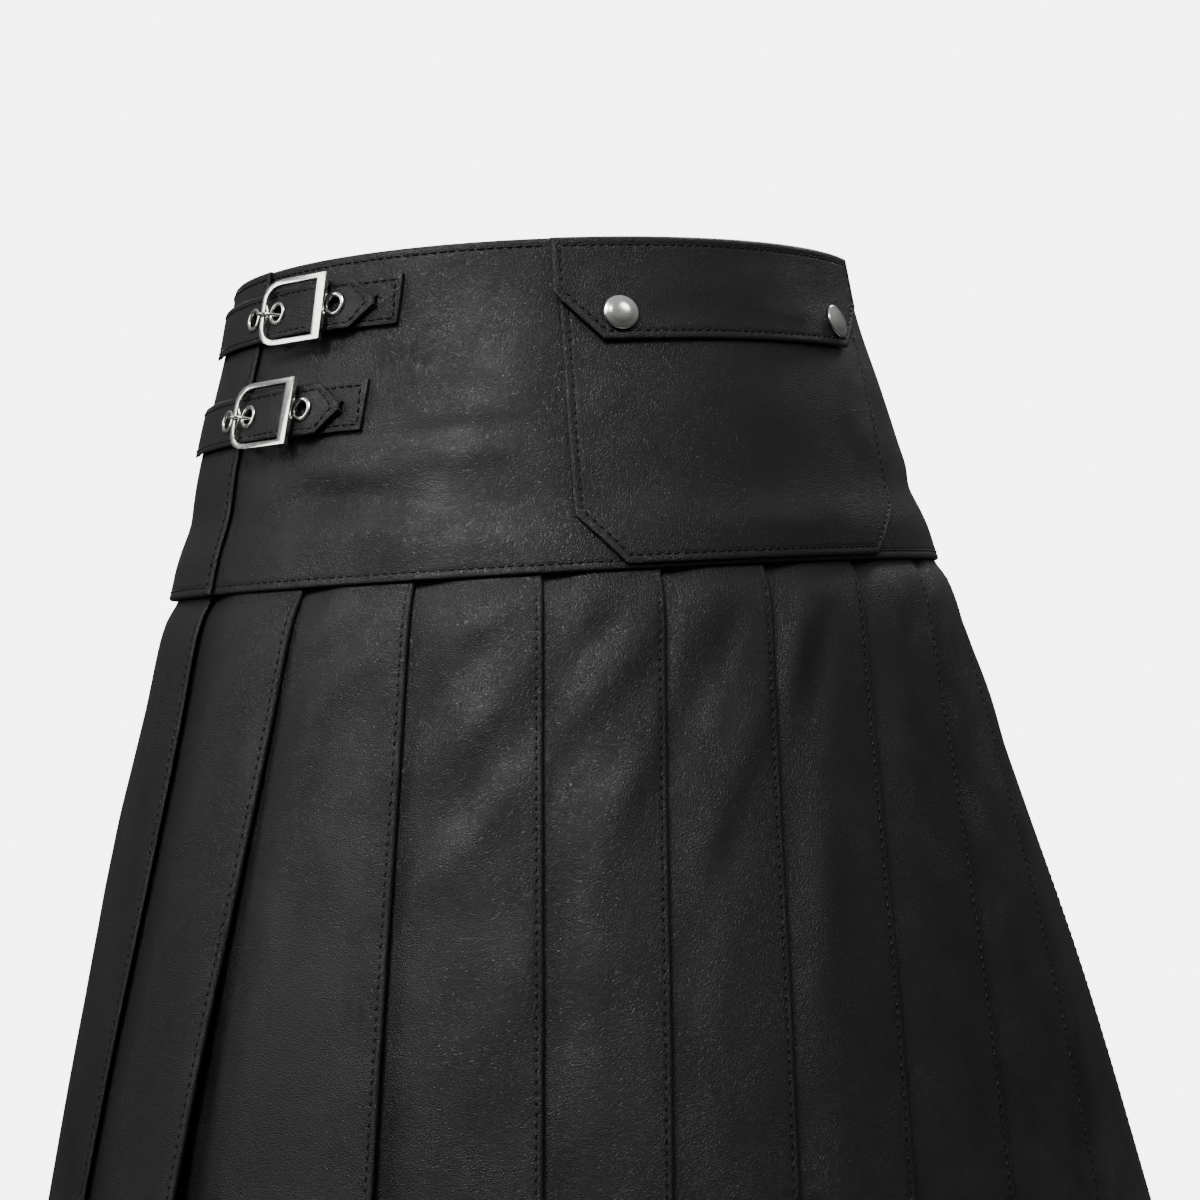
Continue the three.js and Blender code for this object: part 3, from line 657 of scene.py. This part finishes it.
# Pocket and flap
POCKET_LEFT = 144.8
POCKET_WIDTH = 181
POCKET_TOP = -14
POCKET_BOTTOM = -142
POCKET_CORNER = 22
POCKET_PUFF = 2
FLAP_OVERHANG = 1
FLAP_LEFT = POCKET_LEFT - FLAP_OVERHANG
FLAP_WIDTH = 182
FLAP_TOP = -0.6
FLAP_BOTTOM = -46
FLAP_CORNER = 21
FLAP_PUFF = 0.6
FLAP_STANDOFF = 1.8
FLAP_BASE = GAP + YOKE_LEATHER + FLAP_STANDOFF
PLATE_FINE = 7

# Soft shapes of the pocket and the flap: mm from the left edge, level, half length, half
# width, tilt, height
POCKET_CREASES = [
    (60, -70, 60, 14, 8, 0.6), (120, -95, 60, 12, -6, -0.5), (40, -115, 30, 8, 30, 0.5),
    (150, -60, 40, 10, 20, 0.4), (95, -125, 60, 7, 2, 0.4),
]
FLAP_CREASES = [
    (14, -14, 14, 4, 60, -0.5), (30, -22, 26, 7, -24, 0.5), (90, -24, 60, 9, 2, 0.4),
    (150, -20, 40, 7, 6, -0.3), (60, -33, 26, 5, 8, -0.4), (120, -34, 34, 5, -3, 0.4),
]


class Plate:
    """A plate with cut-off lower corners that lies on the yoke."""

    def __init__(self, left, width, top, bottom, corner, base, puff, creases, top_roll):
        self.left, self.width, self.top, self.bottom = left, width, top, bottom
        self.corner, self.base, self.puff = corner, base, puff
        self.creases, self.top_roll = creases, top_roll

    def cut(self, z):
        return max(0, self.corner - (z - self.bottom))

    def edge_distance(self, x, z):
        root = math.sqrt(2)
        up = z - self.bottom
        sides = [x, self.width - x, up, (x + up - self.corner) / root]
        sides.append((self.width - x + up - self.corner) / root)
        if self.top_roll:
            sides.append(self.top - z)
        return min(sides)

    def out(self, x, z):
        swell = math.sin(math.pi * min(max(x / self.width, 0), 1))
        down = (self.top - z) / (self.top - self.bottom)
        puff = self.puff * swell * math.sin(math.pi * min(max(down, 0), 1))
        distance = self.edge_distance(x, z)
        soft = crease_height(self.creases, x, z) * smooth((distance - 5) / 8)
        return self.base + YOKE_LEATHER + puff + rolled(distance) + soft

    def point(self, x, z, extra=0):
        angle = self.left + x * degrees_per_mm(YOKE_ROWS, z, 180)
        return body_point(YOKE_ROWS, z, angle, self.out(x, z) + extra)

    def place(self, share, z):
        """share runs from 0 to the plate's width, squeezed together between cut-off corners."""
        cut = self.cut(z)
        whole = self.width - 2 * PLATE_FINE
        if share <= PLATE_FINE:
            x = cut + share
        elif share >= self.width - PLATE_FINE:
            x = self.width - cut - (self.width - share)
        else:
            x = cut + PLATE_FINE + (share - PLATE_FINE) * (whole - 2 * cut) / whole
        return self.point(x, z)

    def outline(self, inset):
        """Corners of the stitch line, from the top left round to the top right."""
        drop = inset * (math.sqrt(2) - 1)
        low = self.bottom + inset
        high = self.top - (inset if self.top_roll else 1)
        return [
            (inset, high),
            (inset, self.bottom + self.corner + drop),
            (self.corner + drop, low),
            (self.width - self.corner - drop, low),
            (self.width - inset, self.bottom + self.corner + drop),
            (self.width - inset, high),
        ]


pocket = Plate(POCKET_LEFT, POCKET_WIDTH, POCKET_TOP, POCKET_BOTTOM, POCKET_CORNER, GAP,
               POCKET_PUFF, POCKET_CREASES, False)
flap = Plate(FLAP_LEFT, FLAP_WIDTH, FLAP_TOP, FLAP_BOTTOM, FLAP_CORNER, FLAP_BASE, FLAP_PUFF,
             FLAP_CREASES, True)


def build_plate(name, plate, node, step):
    columns = with_close_ends(0, plate.width, step)
    levels = with_close_ends(plate.top, plate.bottom, step)
    leather_wall(name, columns, levels, plate.place, YOKE_LEATHER)
    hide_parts(node)


# Straps, chapes, buckles, prongs and eyelets
STRAP_WIDTH = 22
STRAP_THICK = 2.2
STRAP_TIP = 11
TIP_HALF_WIDTH = 1.5
EYELET_HOLE = 3.4
EYELET_RIM = 5.5
EYELET_PLACES = [-32, -11.5, 20.5]
STRAPS = [("upper", 98.5, -22), ("lower", 95.3, -67)]
STRAP_ROUTE = [
    (-86, 3.9), (-72, 3.9), (-58, 3.9), (-47, 3.9), (-37, 3.9), (-27, 3.9), (-22, 4.6), (-17, 5.4),
    (-6, 5.8), (3, 7.1), (11, 7.4), (15.6, 4.4), (25.4, 4.4), (28.5, 4.2), (34, 4.2), (39.5, 4.2),
]


def strap_half_width(along):
    taper = (STRAP_WIDTH / 2 - TIP_HALF_WIDTH) / STRAP_TIP
    return min(STRAP_WIDTH / 2, TIP_HALF_WIDTH + (STRAP_ROUTE[-1][0] - along) * taper)


def strap_point(strap, along, up, out):
    """Point on a strap: mm along it from the buckle's middle, share of its half width, mm out."""
    _, angle, z = strap
    per_mm = degrees_per_mm(YOKE_ROWS, z, angle)
    level = z + up * strap_half_width(along)
    return body_point(YOKE_ROWS, level, angle + along * per_mm, table_value(STRAP_ROUTE, along) + out)


def yoke_matrix(strap, along, out):
    """Turned place along a strap: x round the body, y up its slope, z off its face."""
    _, angle, z = strap
    angle += along * degrees_per_mm(YOKE_ROWS, z, angle)
    return face_matrix(angle, z, out)


def face_matrix(angle, z, out):
    upward = body_point(YOKE_ROWS, z + 2, angle, 0) - body_point(YOKE_ROWS, z - 2, angle, 0)
    straight = body_point(YOKE_ROWS, z, angle, 1) - body_point(YOKE_ROWS, z, angle, 0)
    across = upward.cross(straight).normalized()
    outward = across.cross(upward.normalized())
    turned = Matrix((across, upward.normalized(), outward)).transposed().to_4x4()
    return Matrix.Translation(body_point(YOKE_ROWS, z, angle, out)) @ turned


def spun(name, profile, place, material, steps=40):
    """A round piece, spun from a profile of (radius, height) points in mm."""
    bm = bmesh.new()
    verts = [bm.verts.new((r * MM, 0, h * MM)) for r, h in profile]
    edges = [bm.edges.new(pair) for pair in zip(verts, verts[1:])]
    bmesh.ops.spin(
        bm, geom=verts + edges, cent=(0, 0, 0), axis=(0, 0, 1), angle=math.tau, steps=steps,
        use_merge=True,
    )
    bmesh.ops.remove_doubles(bm, verts=bm.verts, dist=1e-6)
    bmesh.ops.recalc_face_normals(bm, faces=bm.faces)
    bmesh.ops.transform(bm, matrix=place, verts=bm.verts)
    return finished(name, bm, material)


def softened_copy(node, material, width, segments=3):
    """A finer copy of a frame node: its flat faces joined and its edges rounded."""
    bm = bmesh.new()
    bm.from_mesh(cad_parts[node].data)
    bmesh.ops.remove_doubles(bm, verts=bm.verts, dist=1e-5)
    bmesh.ops.dissolve_limit(bm, angle_limit=math.radians(1), verts=bm.verts, edges=bm.edges)
    sharp = [e for e in bm.edges if len(e.link_faces) == 2 and e.calc_face_angle() > math.radians(35)]
    bmesh.ops.bevel(
        bm, geom=sharp, offset=width * MM, segments=segments, profile=0.5, affect="EDGES",
        material=-1, clamp_overlap=True,
    )
    piece = finished(f"{node}_metal" if material == nickel else f"{node}_leather", bm, material)
    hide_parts(node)
    return piece


def build_strap(strap):
    side = strap[0]
    across = [-86, -79] + spaced(-72, 27.2, 1.6) + spaced(28.5, 39.5, 1.1)
    shares = [1, 0.97, 0.9, 0.82, 0.75, 0.66, 0.5, 0.25]
    up = shares + [0] + [-share for share in reversed(shares)]
    height = [
        (0, -0.35), (0.03, -0.05), (0.1, 0.18), (0.18, 0.15), (0.26, -0.12), (0.4, 0.02), (1, 0.05),
    ]

    def place(along, share):
        return strap_point(strap, along, share, STRAP_THICK / 2 + table_value(height, 1 - abs(share)))

    name = f"strap_{side}_leather"
    piece = leather_wall(name, across, up, place, STRAP_THICK - 0.2)
    cutters = []
    for i, along in enumerate(EYELET_PLACES):
        bm = bmesh.new()
        radius = (EYELET_HOLE + 0.7) * MM
        bmesh.ops.create_cone(
            bm, cap_ends=True, segments=32, radius1=radius, radius2=radius, depth=12 * MM,
            matrix=yoke_matrix(strap, along, table_value(STRAP_ROUTE, along)),
        )
        mesh = bpy.data.meshes.new(f"punch_{side}_{i}")
        bm.to_mesh(mesh)
        bm.free()
        cutter = bpy.data.objects.new(f"punch_{side}_{i}", mesh)
        bpy.context.collection.objects.link(cutter)
        punch = piece.modifiers.new(f"punch_{i}", "BOOLEAN")
        punch.object = cutter
        punch.operation = "DIFFERENCE"
        punch.solver = "EXACT"
        cutters.append(cutter)
    bpy.context.view_layer.update()
    made = bpy.data.meshes.new_from_object(piece.evaluated_get(bpy.context.evaluated_depsgraph_get()))
    piece.modifiers.clear()
    piece.data = made
    for cutter in cutters:
        bpy.data.objects.remove(cutter)
    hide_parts(f"strap_{side}")


def build_eyelets(strap):
    half = STRAP_THICK / 2
    top = half + GAP
    profile = [
        (EYELET_HOLE, -half), (EYELET_HOLE + 0.5, -half), (EYELET_HOLE + 0.5, top), (EYELET_RIM - 0.2, top),
        (EYELET_RIM, top + 0.2), (EYELET_RIM - 0.3, top + 0.5), (EYELET_RIM - 1, top + 0.72),
        (EYELET_HOLE + 0.7, top + 0.7), (EYELET_HOLE + 0.2, top + 0.45), (EYELET_HOLE, top + 0.1),
        (EYELET_HOLE, -half),
    ]
    for i, along in enumerate(EYELET_PLACES):
        node = f"eyelet_{strap[0]}_{i + 1}"
        place = yoke_matrix(strap, along, table_value(STRAP_ROUTE, along))
        piece = spun(f"{node}_metal", profile, place, nickel, steps=36)
        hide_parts(node)


SNAP_ANGLES = [154, 198]
SNAP_DROP = -34.5
SNAP_RADIUS = 7.8


def build_snaps():
    face = FLAP_BASE + YOKE_LEATHER + FLAP_PUFF + GAP
    profile = [
        (0, 0), (SNAP_RADIUS - 0.9, 0), (SNAP_RADIUS - 0.3, 0.15), (SNAP_RADIUS, 0.55),
        (SNAP_RADIUS - 0.15, 0.95), (SNAP_RADIUS - 0.7, 1.25), (6, 1.5), (5, 1.95), (3.6, 2.32),
        (2, 2.52), (0, 2.6),
    ]
    for i, angle in enumerate(SNAP_ANGLES):
        node = f"snap_{i + 1}"
        piece = spun(f"{node}_metal", profile, face_matrix(angle, SNAP_DROP, face), nickel)
        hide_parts(node)


# Stitches
STITCH_LENGTH = 3.2
STITCH_PITCH = 4.1
STITCH_RADIUS = 0.62


def stitch_row(name, points, normals):
    """Stitches along a row of places and the directions off the leather there."""
    bm = bmesh.new()
    length = 0
    marks = [0]
    for a, b in zip(points, points[1:]):
        length += (b - a).length
        marks.append(length)
    count = max(1, int(length / (STITCH_PITCH * MM)))
    pitch = length / count
    for k in range(count):
        middle = (k + 0.5) * pitch
        i = min(max(bisect.bisect(marks, middle) - 1, 0), len(points) - 2)
        share = (middle - marks[i]) / (marks[i + 1] - marks[i])
        at = points[i].lerp(points[i + 1], share)
        along = (points[i + 1] - points[i]).normalized()
        off = normals[i].lerp(normals[i + 1], share)
        off = (off - along * off.dot(along)).normalized()
        side = off.cross(along)
        turned = Matrix((along, side, off)).transposed().to_4x4()
        size = Matrix.Diagonal((STITCH_LENGTH / 2 * MM, STITCH_RADIUS * MM, STITCH_RADIUS * MM, 1))
        bmesh.ops.create_uvsphere(
            bm, u_segments=6, v_segments=4, radius=1,
            matrix=Matrix.Translation(at) @ turned @ size @ Matrix.Rotation(math.pi / 2, 4, "Y"),
        )
    return finished(name, bm, thread)


def row_on(face, places):
    """Points and directions of a stitch row, from a face's place function."""
    points = [face(x, z, 0) for x, z in places]
    normals = [(face(x, z, 1) - face(x, z, 0)).normalized() for x, z in places]
    return points, normals


def between(corners, step=6):
    """Places along straight lines from corner to corner."""
    places = []
    for (x0, z0), (x1, z1) in zip(corners, corners[1:]):
        count = max(1, round(math.hypot(x1 - x0, z1 - z0) / step))
        places += [(x0 + (x1 - x0) * i / count, z0 + (z1 - z0) * i / count) for i in range(count)]
    return places + [corners[-1]]


def build_stitches():
    def on_back(angle, z, off):
        return body_point(YOKE_ROWS, z, angle, yoke_edges(z) + yoke_creases(angle, z) + off)

    def on_apron(angle, z, off):
        return body_point(YOKE_ROWS, z, angle, over_apron_out(angle, z) + off)

    low = -YOKE_DROP + STITCH_INSET
    top = -STITCH_INSET + 0.6
    back_end = 360 + APRON_SEAM - 1
    stitch_row("stitch_yoke_back_low", *row_on(on_back, [(a, low) for a in spaced(86, back_end, 1)]))
    stitch_row("stitch_yoke_back_top_1", *row_on(on_back, [(a, top) for a in spaced(86, FLAP_LEFT - 1, 1)]))
    flap_right = FLAP_LEFT + FLAP_WIDTH * degrees_per_mm(YOKE_ROWS, 0, 180)
    right_places = [(a, top) for a in spaced(flap_right + 1, back_end, 1)]
    stitch_row("stitch_yoke_back_top_2", *row_on(on_back, right_places))
    edge = APRON_EDGE - STITCH_INSET * degrees_per_mm(YOKE_ROWS, -70, APRON_EDGE)
    apron_angles = spaced(APRON_SEAM + 1, edge, 1)
    stitch_row("stitch_yoke_apron_low", *row_on(on_apron, [(a, low) for a in apron_angles]))
    stitch_row("stitch_yoke_apron_top", *row_on(on_apron, [(a, top) for a in apron_angles]))
    stitch_row("stitch_yoke_apron_edge", *row_on(on_apron, [(edge, z) for z in spaced(top, low, 4)]))
    for name, plate in (("pocket", pocket), ("flap", flap)):
        corners = plate.outline(STITCH_INSET)
        if plate.top_roll:
            corners.append(corners[0])
        stitch_row(f"stitch_{name}", *row_on(plate.point, between(corners)))

    def on_skirt_apron(x, z, off):
        angle = skirt_apron_edge(z) - x * degrees_per_mm(SKIRT_ROWS, z, skirt_apron_edge(z))
        return body_point(SKIRT_ROWS, z, angle, skirt_apron_out(angle, z) + off)

    skirt_levels = spaced(-149, -KILT_LENGTH + 3, 5)
    stitch_row("stitch_skirt_apron", *row_on(on_skirt_apron, [(STITCH_INSET, z) for z in skirt_levels]))
    for i, (node, *_) in enumerate(PLEATS):
        def on_pleat(x, z, off, i=i):
            anchor = fold_angle(i, z)
            angle = anchor + x * degrees_per_mm(SKIRT_ROWS, z, anchor)
            return body_point(SKIRT_ROWS, z, angle, pleat_face_out(i, z, x) + PLEAT_LEATHER / 2 + off)

        stitch_row(f"stitch_{node}", *row_on(on_pleat, [(-PLEAT_STITCH, z) for z in skirt_levels]))
    for strap in STRAPS:
        build_strap_stitches(strap)


def build_strap_stitches(strap):
    def on_strap(along, share, off):
        return strap_point(strap, along, share, STRAP_THICK / 2 - 0.05 + off)

    inset = 0.76
    runs = [(x, inset) for x in spaced(-84, 28, 4)] + [(35.8, 0)]
    runs += [(x, -inset) for x in spaced(28, -84, 4)]
    stitch_row(f"stitch_strap_{strap[0]}", *row_on(on_strap, runs))

    def on_chape(along, up, off):
        _, angle, z = strap
        per_mm = degrees_per_mm(YOKE_ROWS, z, angle)
        return body_point(YOKE_ROWS, z + up, angle + along * per_mm, 2.65 + off)

    reach = STRAP_WIDTH / 2 - 2.6
    corners = [(20, reach), (47.4, reach), (47.4, -reach), (20, -reach)]
    stitch_row(f"stitch_chape_{strap[0]}", *row_on(on_chape, between(corners, 3)))


build_yoke()
build_pleats()
build_aprons()
build_plate("pocket_leather", pocket, "pocket", 3)
build_plate("pocket_flap_leather", flap, "pocket_flap", 2.4)
for strap in STRAPS:
    build_strap(strap)
    build_eyelets(strap)
    softened_copy(f"buckle_{strap[0]}", nickel, 0.5)
    softened_copy(f"prong_{strap[0]}", nickel, 0.15, 2)
    softened_copy(f"chape_{strap[0]}", leather, 0.25, 2)
build_snaps()
build_stitches()

# What each sheet of leather is cut to, how it is held, and what it lies on or hangs from
SHEETS = {
    "yoke_back_leather": ("stretched", []),
    "yoke_under_apron_leather": ("stretched", ["yoke_back_leather"]),
    "yoke_over_apron_leather": ("stretched", ["yoke_under_apron_leather"]),
    "skirt_under_apron_leather": ("hung", ["yoke_under_apron_leather"]),
    "skirt_over_apron_leather": ("hung", ["yoke_over_apron_leather"]),
    "pocket_leather": ("stretched", ["yoke_back_leather"]),
    "pocket_flap_leather": ("laid", ["pocket_leather"]),
    "strap_upper_leather": ("stretched", ["yoke_over_apron_leather", "chape_upper_leather"]),
    "strap_lower_leather": ("stretched", ["yoke_over_apron_leather", "chape_lower_leather"]),
}
SHEETS.update({f"{pleat[0]}_leather": ("folded", ["yoke_back_leather"]) for pleat in PLEATS})
SEWN_ROWS = {
    "yoke_back_leather": ["yoke_back_low", "yoke_back_top_1", "yoke_back_top_2"],
    "yoke_over_apron_leather": ["yoke_apron_low", "yoke_apron_top", "yoke_apron_edge"],
    "skirt_over_apron_leather": ["skirt_apron"],
    "pocket_leather": ["pocket"],
    "pocket_flap_leather": ["flap"],
    "strap_upper_leather": ["strap_upper"],
    "strap_lower_leather": ["strap_lower"],
}
SEWN_ROWS.update({f"{pleat[0]}_leather": [pleat[0]] for pleat in PLEATS})
for name, (held, under) in SHEETS.items():
    width, length, area = cuts[name]
    sewn = [pieces[f"stitch_{row}"] for row in SEWN_ROWS.get(name, [])]
    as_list(under)

# Floor, lights and backdrop
FLOOR_LEVEL = -600.6
FLOOR_RADIUS = 600


def make_stage():
    bm = bmesh.new()
    bmesh.ops.create_circle(bm, cap_ends=True, segments=96, radius=FLOOR_RADIUS * MM)
    bmesh.ops.translate(bm, vec=(0, 0, FLOOR_LEVEL * MM), verts=bm.verts)
    mesh = bpy.data.meshes.new("floor")
    bm.to_mesh(mesh)
    bm.free()
    floor = bpy.data.objects.new("floor", mesh)
    mesh.materials.append(make_floor_finish())
    bpy.context.collection.objects.link(floor)
    world = bpy.data.worlds.new("pale_room")
    bpy.context.scene.world = world
    world.use_nodes = True
    nodes, links = world.node_tree.nodes, world.node_tree.links
    seen = nodes["Background"]
    seen.inputs["Color"].default_value = (1, 1, 1, 1)
    seen.inputs["Strength"].default_value = 6
    room = nodes.new("ShaderNodeBackground")
    room.inputs["Strength"].default_value = 1
    way = nodes.new("ShaderNodeTexCoord")
    parts = nodes.new("ShaderNodeSeparateXYZ")
    height = nodes.new("ShaderNodeMapRange")
    height.inputs["From Min"].default_value = -1
    bands = nodes.new("ShaderNodeValToRGB")
    ramp = bands.color_ramp
    ramp.elements[0].position = 0
    ramp.elements[0].color = (0.07, 0.07, 0.07, 1)
    ramp.elements[1].position = 1
    ramp.elements[1].color = (0.5, 0.51, 0.53, 1)
    for position, grey in ((0.4, 0.05), (0.5, 0.09), (0.62, 0.15)):
        ramp.elements.new(position).color = (grey, grey, grey, 1)
    links.new(way.outputs["Generated"], parts.inputs["Vector"])
    links.new(parts.outputs["Z"], height.inputs["Value"])
    links.new(height.outputs["Result"], bands.inputs["Fac"])
    links.new(bands.outputs["Color"], room.inputs["Color"])
    path = nodes.new("ShaderNodeLightPath")
    mix = nodes.new("ShaderNodeMixShader")
    links.new(path.outputs["Is Camera Ray"], mix.inputs["Fac"])
    links.new(room.outputs["Background"], mix.inputs[1])
    links.new(seen.outputs["Background"], mix.inputs[2])
    links.new(mix.outputs["Shader"], nodes["World Output"].inputs["Surface"])


def area_light(name, view_angle, height, distance, size, power, aim=(0, 0, -0.3), spread=180):
    """A soft light placed by its angle round the body, with its cone's width in degrees."""
    turn = math.radians(view_angle)
    place = Vector((math.sin(turn) * distance, -math.cos(turn) * distance, height))
    data = bpy.data.lights.new(name, "AREA")
    data.shape = "DISK"
    data.size = size
    data.energy = power
    data.spread = math.radians(spread)
    light = bpy.data.objects.new(name, data)
    light.rotation_euler = (Vector(aim) - place).to_track_quat("-Z", "Y").to_euler()
    light.location = place
    bpy.context.collection.objects.link(light)


make_stage()
area_light("high_window", 119, 1.1, 1.3, 0.8, 2.1, aim=(0.134, 0.105, -0.08), spread=32)
area_light("left_fill", 62, 0.9, 2.4, 1.4, 22)
area_light("back_window", 190, 1.3, 1.5, 0.8, 0.25, aim=(0.06, 0.14, -0.01), spread=24)
area_light("front_side", 322, 1.0, 2.2, 1.4, 44)
area_light("right_side", 288, 1.7, 1.8, 1.2, 22)
